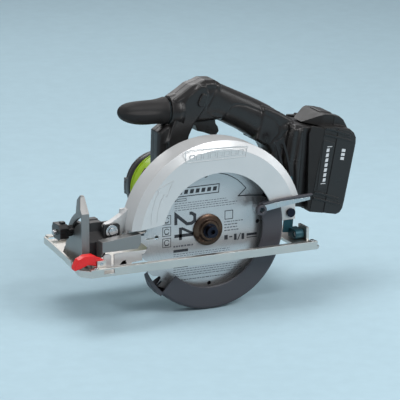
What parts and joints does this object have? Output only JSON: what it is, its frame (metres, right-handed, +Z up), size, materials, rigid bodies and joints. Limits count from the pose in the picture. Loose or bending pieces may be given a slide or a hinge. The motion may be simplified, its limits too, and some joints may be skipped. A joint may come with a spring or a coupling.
{
  "type": "cordless circular saw",
  "caption": "Cordless circular saw, blade on the left: guards, tilting shoe, closed handle with trigger, motor drive and slide-on battery.",
  "frame": {"origin": "on the sole of the shoe, under the arbor axis and midway across the shoe's width", "axes": "+X from the front of the shoe towards the battery, +Y from the blade side towards the motor, +Z up; z = 0 is the sole"},
  "size_m": [0.3574, 0.1534, 0.2449],
  "materials": {
    "shoe_metal": "satin, fine brushed grain",
    "zinc": "bright zinc plate",
    "bright_steel": "turned",
    "red_plastic": "semi gloss",
    "black_casting": "black, satin",
    "black_plastic": "fine moulded texture",
    "guard_paint": "light silver-grey paint",
    "cast_alloy": "as cast",
    "black_steel": "black oxide",
    "guard_grey": "dark grey satin",
    "blade_steel": "ground",
    "bronze_steel": "dark bronze oxide",
    "copper": "bright",
    "carbon": "carbon block",
    "green_plastic": "semi gloss, fine texture",
    "grip_rubber": "soft matte grip",
    "cell_wrap": "shrink wrap"
  },
  "bodies": {
    "shoe": {"shoe_plate": "shoe_metal", "bevel_quadrant": "zinc", "bevel_pivot_pins": "bright_steel", "shoe_screws": "bright_steel", "fence_screw": "bright_steel", "cut_guide": "guard_paint"},
    "fence_lever": {"fence_lock_lever": "red_plastic"},
    "bevel_bracket": {"bevel_bracket": "black_casting", "blade_shield": "cast_alloy", "bevel_bolt": "bright_steel", "depth_pivot_pin": "bright_steel", "pivot_clip": "bright_steel"},
    "bevel_lever": {"bevel_lock_lever": "black_plastic"},
    "depth_guide": {"depth_guide": "zinc"},
    "saw_body": {"upper_guard": "guard_paint", "gear_housing": "cast_alloy", "guard_screws": "bright_steel", "depth_bolt": "black_steel", "guard_spring": "bright_steel", "bearing_front": "bright_steel", "bearing_rear": "bright_steel", "motor_bearings": "bright_steel", "motor_can": "zinc", "brush_holder": "black_plastic", "brushes": "carbon", "motor_housing": "green_plastic", "motor_end_cap": "black_plastic", "motor_screws": "black_steel", "handle_left": "black_plastic", "handle_right": "black_plastic", "handle_screws": "black_steel", "front_handle": "grip_rubber", "trigger_pin": "bright_steel", "switch_unit": "black_plastic", "terminal_block": "black_plastic"},
    "depth_lever": {"depth_lock_lever": "zinc"},
    "lower_guard": {"lower_guard": "guard_grey", "guard_lever": "zinc"},
    "blade_set": {"blade": "blade_steel", "inner_flange": "bright_steel", "outer_flange": "bronze_steel", "arbor_bolt": "black_steel", "spindle": "bright_steel", "spindle_gear": "black_steel"},
    "rotor_set": {"pinion": "bright_steel", "motor_shaft": "bright_steel", "rotor": "black_steel", "commutator": "copper", "motor_fan": "black_plastic"},
    "spindle_lock": {"spindle_lock": "black_plastic"},
    "trigger": {"trigger": "black_plastic"},
    "lock_off": {"lock_off_button": "black_plastic"},
    "battery": {"battery_case": "black_plastic", "battery_cover": "black_plastic", "battery_cells": "cell_wrap", "battery_contacts": "copper"},
    "latch": {"battery_latch": "black_plastic"}
  },
  "joints": [
    {"name": "bevel_tilt", "type": "hinge", "parent": "shoe", "child": "bevel_bracket", "pos_m": [-0.141, -0.0405, 0.009], "axis": [1, 0, 0], "range_deg": [0, 45]},
    {"name": "guide_tilt", "type": "hinge", "parent": "shoe", "child": "depth_guide", "pos_m": [0.111, -0.0405, 0.009], "axis": [1, 0, 0], "range_deg": [0, 45]},
    {"name": "depth_tilt", "type": "hinge", "parent": "bevel_bracket", "child": "saw_body", "pos_m": [-0.115, -0.034, 0.0395], "axis": [0, -1, 0], "range_deg": [0, 20]},
    {"name": "bevel_lever_turn", "type": "hinge", "parent": "bevel_bracket", "child": "bevel_lever", "pos_m": [-0.155, -0.0049, 0.03486], "axis": [1, 0, 0], "range_deg": [0, 40]},
    {"name": "depth_lever_turn", "type": "hinge", "parent": "saw_body", "child": "depth_lever", "pos_m": [0.10588, -0.0199, 0.03217], "axis": [0, 1, 0], "range_deg": [0, 40]},
    {"name": "fence_lever_flip", "type": "hinge", "parent": "shoe", "child": "fence_lever", "pos_m": [-0.139, -0.0626, 0.0125], "axis": [0, 1, 0], "range_deg": [0, 60]},
    {"name": "guard_retract", "type": "hinge", "parent": "saw_body", "child": "lower_guard", "pos_m": [0, -0.0435, 0.0275], "axis": [0, -1, 0], "range_deg": [0, 110], "stiffness_Nm_per_rad": 0.16, "springref_deg": -57.3},
    {"name": "blade_spin", "type": "hinge", "parent": "saw_body", "child": "blade_set", "pos_m": [0, -0.0405, 0.0275], "axis": [0, 1, 0], "continuous": true},
    {"name": "rotor_spin", "type": "hinge", "parent": "saw_body", "child": "rotor_set", "pos_m": [-0.013, 0.0315, 0.04767], "axis": [0, 1, 0], "continuous": true},
    {"name": "spindle_lock_press", "type": "slide", "parent": "saw_body", "child": "spindle_lock", "axis": [-0.7431, 0, -0.6691], "range_m": [0, 0.003], "stiffness_N_per_m": 400, "springref_m": -0.002},
    {"name": "trigger_pull", "type": "hinge", "parent": "saw_body", "child": "trigger", "pos_m": [0.001, 0.0075, 0.1434], "axis": [0, -1, 0], "range_deg": [0, 7], "stiffness_Nm_per_rad": 0.5, "springref_deg": -17.19},
    {"name": "lock_off_press", "type": "slide", "parent": "saw_body", "child": "lock_off", "axis": [0, 1, 0], "range_m": [0, 0.003], "stiffness_N_per_m": 400, "springref_m": -0.002},
    {"name": "battery_slide", "type": "slide", "parent": "saw_body", "child": "battery", "axis": [0.1908, 0, 0.9816], "range_m": [0, 0.11]},
    {"name": "latch_press", "type": "slide", "parent": "battery", "child": "latch", "axis": [-0.1908, 0, -0.9816], "range_m": [0, 0.0025], "stiffness_N_per_m": 500, "springref_m": -0.002}
  ],
  "couplings": [
    {"joint": "guide_tilt", "follows": "bevel_tilt", "ratio": 1},
    {"joint": "rotor_spin", "follows": "blade_spin", "ratio": -4}
  ]
}
